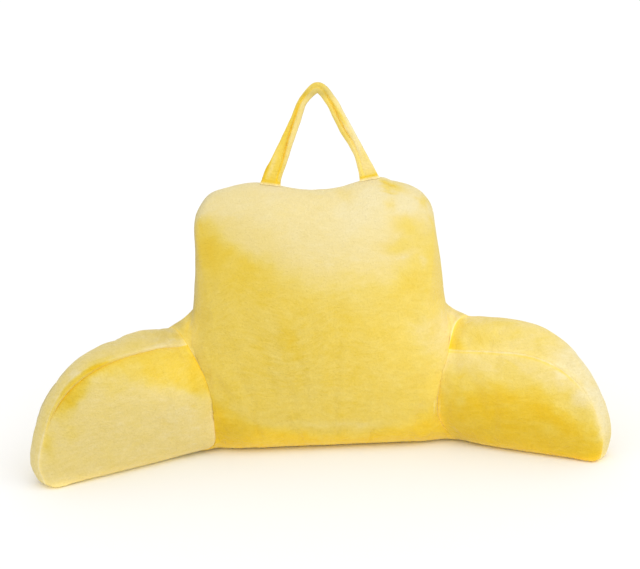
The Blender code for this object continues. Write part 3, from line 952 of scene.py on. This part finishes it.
# The right band's seam is a fine pale line over a finer deep one.
LINE_TONE = 0.19
LINE_WIDTH = 0.0012
LINE_END = (39.0, 44.0)
LINE_UNDER_TONE = -0.18
LINE_UNDER_AT = -0.0030
LINE_UNDER_WIDTH = 0.0016


def by_side(points, left, right):
    """Tables read at the points' heights, one for the left side and another for the right."""
    z = points[..., 2]
    return np.where(points[..., 0] < 0, table(left, z), table(right, z))


def crease_tone(points, root):
    return np.where(points[..., 0] < 0, *CREASE_TONE) * np.exp(-root / CREASE_WIDTH)


def ridge_tone(points, root):
    line = by_side(points, RIDGE_LEFT, RIDGE_RIGHT) * bell(root, RIDGE_AT, RIDGE_WIDTH)
    return line + crease_tone(points, root)


def edge_tone(points, root):
    line = by_side(points, EDGE_LEFT, EDGE_RIGHT) * np.exp(-root / EDGE_WIDTH)
    return line + crease_tone(points, root)


def left_seam_tone(points, seam):
    across = front_view(points)[0]
    lip_at = table(LIP_ALONG, across, 2)
    under = UNDER_LIP_PAINTED_SHADE * table(LIP_ALONG, across) * bell(seam, UNDER_SHARE * lip_at, UNDER_WIDTH)
    return under + LIP_TONE * bell(seam, lip_at, LIP_WIDTH)


def right_seam_tone(points, seam):
    line = LINE_TONE * bell(seam, 0.0, LINE_WIDTH)
    line += LINE_UNDER_TONE * bell(seam, LINE_UNDER_AT, LINE_UNDER_WIDTH)
    return line * (1 - smoothstep(front_view(points)[0], *LINE_END))


def painted_seam_and_foot_light(points, seen, root, haze, seam=None):
    """Painted light: how much the colour is brightened near the seams and above the floor."""
    z = points[..., 2]
    left = points[..., 0] < 0
    painted_root_light = np.where(left, *ROOT_PAINTED_LIGHT) * np.exp(-root / ROOT_PAINTED_LIGHT_WIDTH)
    painted_root_light += np.where(left, *haze) * np.exp(-root / PAINTED_HAZE_WIDTH)
    painted_shading = painted_root_light * smoothstep(z, *ROOT_PAINTED_LIGHT_FROM) * seen
    painted_shading += FOOT_PAINTED_LIGHT * np.exp(-z / FOOT_PAINTED_LIGHT_HEIGHT) * (REAR_PAINTED_LIGHT + seen)
    if seam is not None:
        painted_shading += BAND_SEAM_PAINTED_LIGHT * np.exp(-np.abs(seam) / BAND_SEAM_PAINTED_LIGHT_WIDTH)
    return painted_shading


# ---- The dressed bodies ----

# The lumps of the filling, which grow in over these distances from the floor and the root seams.
BACK_LUMPS = ((0.0022, 0.10), (0.0008, 0.035))
ARM_LUMPS = ((0.0018, 0.07), (0.0006, 0.028))
FLOOR_FREE = (0.0, 0.02)
BACK_ROOT_FREE = (0.0, 0.03)
ARM_ROOT_FREE = (0.0, 0.02)

# How far the backrest's crest is drawn down across the front view.
CREST_DRAW = (
    (-20.0, 0.0020), (-17.0, 0.0028), (-13.3, 0.0036), (-10.0, 0.0022), (-5.0, 0.0022),
    (-2.0, 0.0012), (0.0, 0.0012), (2.0, 0.0022), (3.6, 0.0036), (5.5, 0.0026), (9.6, 0.0016),
    (10.6, 0.0028), (11.7, 0.0060), (13.0, 0.0048), (14.5, 0.0030), (16.2, 0.0020), (18.0, 0.0006),
)
CREST_DRAW_FROM = (0.33, 0.38)
CREST_DRAW_TURN = (0.0, 0.6)

# The waists, where the backrest flares into the arms.
WAIST_HEIGHT = 0.212
WAIST_REACH = 0.040
WAIST_FROM = (0.165, 0.195)
WAIST_ROOT_FREE = (0.006, 0.025)
WAIST_PASSES = 24

# The pile's grain is faint towards the backrest's top and strongest low in its middle.
GRAIN_TOP_LOSS = 0.55
GRAIN_TOP_FROM = (0.23, 0.34)
BACK_GRAIN = ((-2.5, -13.0, 11.0, 6.0, -6, 1.35),)

# Round the noses the cover is drawn in a little and swells less. Low down the band's seam fades.
NOSE_DRAW = 0.0028
NOSE_FROM = (0.36, 0.43)
ARM_SWELL = 0.8
NOSE_SWELL = 0.3
SEAM_FADE = (0.085, 0.130)
SEAM_REST = 0.2

# How much further out each nose stands, by height above the surface: its foot is rounded in.
LEFT_TOE = (
    (0.0, -0.0085), (0.008, -0.0060), (0.014, -0.0040), (0.022, 0.0), (0.034, 0.0038),
    (0.050, 0.0040), (0.070, 0.0020), (0.095, 0.0),
)
RIGHT_TOE = (
    (0.0, -0.0090), (0.006, -0.0090), (0.012, -0.0075), (0.018, -0.0052), (0.026, -0.0028),
    (0.036, -0.0008), (0.050, 0.0),
)
TOE_FROM = (0.395, 0.440)

# The band's seam: a lip beside it on the band, and a tuck drawn in over one width on the panels and
# another on the band. The nap changes between the two within BAND_EDGE.
Band = namedtuple("Band", "lip lip_at lip_width tuck panel_width band_width")
LEFT_BAND = Band(0.0016, 0.0035, 0.003, 0.0034, 0.006, 0.0012)
RIGHT_BAND = Band(0.0007, 0.0028, 0.002, 0.0009, 0.003, 0.0010)
BAND_EDGE = 0.0006

# What each arm's cover has of its own. seed is the noise's.
Cover = namedtuple("Cover", "arm band seam_tone panel_tone panel_nap band_tone band_nap seed")
LEFT_COVER = Cover(
    ARM_LEFT, LEFT_BAND, left_seam_tone, LEFT_PANEL_TONE, LEFT_PANEL_NAP, LEFT_BAND_TONE,
    LEFT_BAND_NAP, 23,
)
RIGHT_COVER = Cover(
    ARM_RIGHT, RIGHT_BAND, right_seam_tone, RIGHT_PANEL_TONE, RIGHT_PANEL_NAP, RIGHT_BAND_TONE,
    RIGHT_BAND_NAP, 41,
)
BACK_LUMPS_SEED = 1
BACK_NAP_SEED = 11
STRAP_SEED = 61


def band_profile(band, distance):
    """How far the cover stands out at distances from the band's seam, negative on the panels."""
    width = np.where(distance < 0, band.panel_width, band.band_width)
    lip = band.lip * bell(distance, band.lip_at, band.lip_width)
    return lip - band.tuck * np.exp(-np.abs(distance) / width)


def pushed(points, normal, push):
    """The points moved out along their normals, with none of them under the floor."""
    points = points + normal * push[..., None]
    points[..., 2] = np.maximum(points[..., 2], 0.0)
    return points


def dressed_arm(name, cover):
    arm = cover.arm
    points, seam, root, foot = arm_grid(arm)
    normal = normals_of(points, arm.side)
    seen = seen_in_front(normal)
    depth, crease = creased(points, ARM_CREASES)
    nose = smoothstep(np.abs(points[..., 0]), *NOSE_FROM)
    kept = SEAM_REST + (1 - SEAM_REST) * smoothstep(points[..., 2], *SEAM_FADE)
    push = lumps(points, ARM_LUMPS, cover.seed) - NOSE_DRAW * nose - depth * seen
    swell = ARM_SWELL + (NOSE_SWELL - ARM_SWELL) * nose
    push += swelling(points, foot, normal, root, seam) * swell
    push += band_profile(cover.band, seam) * kept
    push *= smoothstep(points[..., 2], *FLOOR_FREE) * smoothstep(root, *ARM_ROOT_FREE)
    points = pushed(points, normal, push)
    toe = by_side(points, LEFT_TOE, RIGHT_TOE)
    points[..., 0] += arm.side * toe * smoothstep(np.abs(points[..., 0]), *TOE_FROM)
    panel = nap_of(points, normal, cover.panel_tone, cover.panel_nap, cover.seed)
    band = nap_of(points, normal, cover.band_tone, cover.band_nap, cover.seed)
    nap = panel + (band - panel) * smoothstep(seam, -BAND_EDGE, BAND_EDGE)
    nap += (cover.seam_tone(points, seam) + edge_tone(points, root) + crease) * seen
    painted_shading = painted_shading_of(points, normal, ARM_PAINTED_SHADING) + painted_seam_and_foot_light(points, seen, root, ARM_PAINTED_HAZE, seam)
    return build(name, points, foot, {"nap": nap, "painted_shading": painted_shading, "grain": np.ones(nap.shape)})


def eased(points, root):
    """The backrest's points with both waists, where it flares into the arms, rounded off."""
    share = bell(points[..., 2], WAIST_HEIGHT, WAIST_REACH) * smoothstep(root, *WAIST_ROOT_FREE)
    share *= smoothstep(np.abs(points[..., 0]), *WAIST_FROM)
    points = points.copy()
    for _ in range(WAIST_PASSES):
        mean = (points[:-2] + 2 * points[1:-1] + points[2:]) / 4
        points[1:-1] += (mean - points[1:-1]) * share[1:-1, :, None]
    return points


def dressed_backrest():
    points, root, foot = backrest_grid()
    points = eased(points, root)
    normal = normals_of(points)
    seen = seen_in_front(normal)
    depth, crease = creased(points, BACK_CREASES)
    push = lumps(points, BACK_LUMPS, BACK_LUMPS_SEED) - depth * seen
    push += swelling(points, foot, normal, root)
    push *= smoothstep(points[..., 2], *FLOOR_FREE) * smoothstep(root, *BACK_ROOT_FREE)
    drawn = smoothstep(points[..., 2], *CREST_DRAW_FROM)
    drawn *= smoothstep(normal[..., 2], *CREST_DRAW_TURN)
    push -= table(CREST_DRAW, front_view(points)[0]) * drawn
    points = pushed(points, normal, push)
    nap = nap_of(points, normal, BACK_TONE, BACK_NAP, BACK_NAP_SEED)
    nap += (ridge_tone(points, root) + crease) * seen
    painted_shading = painted_shading_of(points, normal, BACK_PAINTED_SHADING) + painted_seam_and_foot_light(points, seen, root, BACK_PAINTED_HAZE)
    grain = 1 - GRAIN_TOP_LOSS * smoothstep(points[..., 2], *GRAIN_TOP_FROM)
    grain = painted(grain, BACK_GRAIN, *front_view(points))
    return build("plush_backrest", points, foot, {"nap": nap, "painted_shading": painted_shading, "grain": grain})


def seated(points, from_foot, ground):
    """The strap's points with each foot let down, or lifted, onto the ground piece."""
    tree = BVHTree.FromObject(ground, bpy.context.evaluated_depsgraph_get())
    points = points.copy()
    for end, rings in ((0, slice(0, len(points) // 2)), (-1, slice(len(points) // 2, None))):
        lift = np.zeros(points.shape[1])
        for i, point in enumerate(points[end]):
            hit = tree.ray_cast(Vector(point) + Vector((0, 0, SEAT_SEARCH)), Vector((0, 0, -1)))
            lift[i] = hit[0].z + GAP + SEAT_CLEAR - point[2]
        share = np.exp(-from_foot[rings] / SEAT_BLEND)
        points[rings, :, 2] += lift * share
    return points


def dressed_strap(ground):
    points, lobe, away, from_foot = strap_grid()
    points = seated(points, from_foot, ground)
    normal = normals_of(points)
    push = lumps(points, STRAP_LUMPS, STRAP_SEED) * smoothstep(from_foot, *STRAP_FREE)
    points = points + normal * push[..., None]
    across, up = front_view(points)
    outer, inner, fold = (table(STRAP_TONES, across, i) for i in (1, 2, 3))
    nap = outer + (inner - outer) * smoothstep(away, -STRAP_LOBE_EDGE, STRAP_LOBE_EDGE)
    nap = painted(nap, STRAP_NAP, across, up)
    nap = nap * lobe + fold * (1 - lobe) + lumps(points, STRAP_MOTTLE, STRAP_SEED + 1)
    nap += (STRAP_BAND_TONE - nap) * bell(from_foot, STRAP_BAND_AT, STRAP_BAND_WIDTH)
    nap += (STRAP_END_TONE - nap) * (1 - smoothstep(from_foot, *STRAP_END))
    painted_shading = painted(STRAP_PAINTED_LIGHT, STRAP_PAINTED_SHADING, across, up) - painted_rim_and_flank_shade(normal, STRAP_RIM_PAINTED_SHADE)
    painted_shading += STRAP_FOLD_PAINTED_LIGHT * (1 - lobe) + lumps(points, STRAP_SHIMMER, STRAP_SEED + 2)
    painted_shading += STRAP_END_PAINTED_LIGHT * np.exp(-from_foot / STRAP_END_PAINTED_LIGHT_WIDTH)
    values = {"nap": nap, "painted_shading": painted_shading, "grain": np.full(nap.shape, STRAP_GRAIN)}
    return build("folded_strap", points, None, values)


# ---- Material ----

# The colours of the tones from the deepest, painted shade down in a crease, to the palest, as what
# the cloth reflects.
TONES = (
    (-0.30, (0.84, 0.490, 0.006)),
    (0.00, (0.79, 0.520, 0.022)),
    (0.25, (0.80, 0.580, 0.072)),
    (0.50, (0.81, 0.628, 0.150)),
    (0.75, (0.82, 0.662, 0.260)),
    (1.00, (0.83, 0.725, 0.430)),
)
PILE = {
    "Roughness": 0.88,
    "Sheen Weight": 0.55,
    "Sheen Roughness": 0.45,
    "Sheen Tint": (1.0, 0.95, 0.74, 1.0),
    "Specular IOR Level": 0.08,
}

# The pile's noises: scale, detail, roughness, and how much finer they are along each axis. Those in
# BRUSHED follow the swirl's curves.
EVEN = (1.0, 1.0, 1.0)
PILE_NOISES = {
    "cloud": (34.0, 3.0, 0.55, EVEN),
    "stroke": (42.0, 4.0, 0.60, (1.0, 1.0, 3.2)),
    "brush": (130.0, 3.0, 0.60, (1.0, 1.0, 3.0)),
    "clump": (260.0, 3.0, 0.60, EVEN),
    "fibre": (620.0, 3.0, 0.65, EVEN),
}
BRUSHED = ("stroke", "brush")
SWIRL_SCALE = 7.0
SWIRL_SHIFT = 0.09

# How much of each noise goes into the tone, into the light thrown back and into the height.
TONE_MIX = {"cloud": 0.26, "stroke": 0.30, "brush": 0.12, "clump": 0.12}
LIGHT_MIX = {"fibre": 0.20, "clump": 0.12, "brush": 0.08, "stroke": 0.10}
HEIGHT_MIX = {"clump": 1.6, "brush": 1.6, "fibre": 1.0}
BUMP_STRENGTH = 0.6
BUMP_DEPTH = 0.0016


class Nodes:
    """A material's nodes, made and linked in short lines."""

    def __init__(self, name, settings):
        self.material = bpy.data.materials.new(name)
        self.material.use_nodes = True
        self.tree = self.material.node_tree
        self.shader = self.tree.nodes["Principled BSDF"]
        for key, value in settings.items():
            self.shader.inputs[key].default_value = value

    def new(self, kind, **sockets):
        """A node. Each keyword is a socket's name, with _ for a blank, and its value or source."""
        node = self.tree.nodes.new(kind)
        for key, value in sockets.items():
            self.feed(node.inputs[key.replace("_", " ")], value)
        return node

    def feed(self, socket, value):
        if isinstance(value, bpy.types.NodeSocket):
            self.tree.links.new(value, socket)
        else:
            socket.default_value = value

    def math(self, operation, a, b=0.0, c=0.0):
        node = self.tree.nodes.new("ShaderNodeMath")
        node.operation = operation
        for socket, value in zip(node.inputs, (a, b, c)):
            self.feed(socket, value)
        return node.outputs[0]

    def noise(self, where, scale, detail, roughness, finer):
        """Noise about 0, from -0.5 to 0.5."""
        mapping = self.new("ShaderNodeMapping", Vector=where, Scale=finer)
        sockets = {"Scale": scale, "Detail": detail, "Roughness": roughness}
        node = self.new("ShaderNodeTexNoise", Vector=mapping.outputs[0], **sockets)
        return self.math("SUBTRACT", node.outputs["Fac"], 0.5)

    def mixed(self, sources, strengths):
        """The sum of the sources, each with its strength."""
        total = 0.0
        for key, strength in strengths.items():
            total = self.math("MULTIPLY_ADD", sources[key], strength, total)
        return total

    def attribute(self, name):
        node = self.tree.nodes.new("ShaderNodeAttribute")
        node.attribute_name = name
        return node.outputs["Fac"]

    def ramp(self, tone):
        """The colour of a tone."""
        lowest = TONES[0][0]
        reach = TONES[-1][0] - lowest
        place = self.math("MULTIPLY_ADD", tone, 1 / reach, -lowest / reach)
        node = self.new("ShaderNodeValToRGB", Fac=place)
        stops = node.color_ramp.elements
        while len(stops) < len(TONES):
            stops.new(0.5)
        for stop, (position, colour) in zip(stops, TONES):
            stop.position = (position - lowest) / reach
            stop.color = (*colour, 1.0)
        return node.outputs["Color"]

    def scaled(self, vector, scale):
        node = self.new("ShaderNodeVectorMath", Vector=vector)
        node.operation = "SCALE"
        self.feed(node.inputs["Scale"], scale)
        return node.outputs["Vector"]

    def swirled(self, where, scale, shift):
        """The place moved about by broad noise, which makes strokes in it run in curves."""
        drift = self.new("ShaderNodeTexNoise", Vector=where, Scale=scale, Detail=1.0)
        node = self.new("ShaderNodeVectorMath", Vector=drift.outputs["Color"])
        node.operation = "MULTIPLY_ADD"
        node.inputs[1].default_value = (shift, shift, shift)
        self.feed(node.inputs[2], where)
        return node.outputs["Vector"]


def plush_material(name):
    """Short pile: its tone from the nap, brushed strokes and grain, and a soft sheen."""
    nodes = Nodes(name, PILE)
    where = nodes.new("ShaderNodeTexCoord").outputs["Object"]
    swirled = nodes.swirled(where, SWIRL_SCALE, SWIRL_SHIFT)
    noises = {}
    for key, values in PILE_NOISES.items():
        noises[key] = nodes.noise(swirled if key in BRUSHED else where, *values)
    grain = nodes.attribute("grain")
    speck = nodes.mixed(noises, TONE_MIX)
    tone = nodes.math("MULTIPLY_ADD", speck, grain, nodes.attribute("nap"))
    # The colour is scaled by the painted light and shade kept at the mesh's points, and by the pile's
    # noises.
    spark = nodes.mixed(noises, LIGHT_MIX)
    light = nodes.math("MULTIPLY_ADD", spark, grain, nodes.attribute("painted_shading"))
    nodes.feed(nodes.shader.inputs["Base Color"], nodes.scaled(nodes.ramp(tone), light))
    height = nodes.mixed(noises, HEIGHT_MIX)
    bump = nodes.new("ShaderNodeBump", Height=height, Strength=BUMP_STRENGTH, Distance=BUMP_DEPTH)
    nodes.feed(nodes.shader.inputs["Normal"], bump.outputs["Normal"])
    return nodes.material


# ---- Stage: floor, light and camera ----

FLOOR_HALF = 30.0
FLOOR = {"Base Color": (0.95, 0.95, 0.95, 1.0), "Roughness": 0.9, "Specular IOR Level": 0.1}
WORLD = {"Color": (1.0, 1.0, 1.0, 1.0), "Strength": 0.97}
LAMP_PLACE = Vector((1.5, -1.6, 2.4))
LAMP_ANGLE = radians(60)
LAMP_STRENGTH = 0.60


def add_camera():
    data = bpy.data.cameras.new("camera")
    data.sensor_fit = "HORIZONTAL"
    data.sensor_width = CAMERA_SENSOR
    data.lens = CAMERA_LENS
    data.clip_start, data.clip_end = CAMERA_CLIP
    camera = add_object("camera", data)
    right, up, back = camera_axes()
    place = Matrix.Translation(CAMERA_TARGET + Vector(back) * CAMERA_DISTANCE)
    camera.matrix_world = place @ Matrix((right, up, back)).transposed().to_4x4()
    bpy.context.scene.camera = camera


def add_floor():
    data = bpy.data.meshes.new("floor")
    reach = FLOOR_HALF
    corners = [(-reach, -reach, 0), (reach, -reach, 0), (reach, reach, 0), (-reach, reach, 0)]
    data.from_pydata(corners, [], [(0, 1, 2, 3)])
    data.materials.append(Nodes("floor", FLOOR).material)
    floor = add_object("floor", data)


def add_light():
    """A broad soft lamp far away in the direction of its place."""
    data = bpy.data.lights.new("key", "SUN")
    data.angle = LAMP_ANGLE
    data.energy = LAMP_STRENGTH
    light = add_object("key", data)
    light.location = LAMP_PLACE
    light.rotation_euler = (-LAMP_PLACE).to_track_quat("-Z", "Y").to_euler()


def add_world():
    world = bpy.data.worlds.new("studio")
    world.use_nodes = True
    for key, value in WORLD.items():
        world.node_tree.nodes["Background"].inputs[key].default_value = value
    bpy.context.scene.world = world
    bpy.context.scene.view_settings.view_transform = "Standard"


def clear_startup():
    for name in ("Cube", "Light", "Camera"):
        found = bpy.data.objects.get(name)
        if found is not None:
            bpy.data.objects.remove(found, do_unlink=True)


clear_startup()
add_camera()
add_world()
add_floor()
add_light()

plush = plush_material("plush")
strap_cloth = plush_material("strap")

backrest = dressed_backrest()
arm_left = dressed_arm("plush_arm_left", LEFT_COVER)
arm_right = dressed_arm("plush_arm_right", RIGHT_COVER)
strap = dressed_strap(backrest)

for piece, node in ((backrest, "backrest"), (arm_left, "arm_left"), (arm_right, "arm_right")):
    piece.data.materials.append(plush)
    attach(piece, "root")
    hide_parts(node)
strap.data.materials.append(strap_cloth)
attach(strap, "root")
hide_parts("carry_handle")
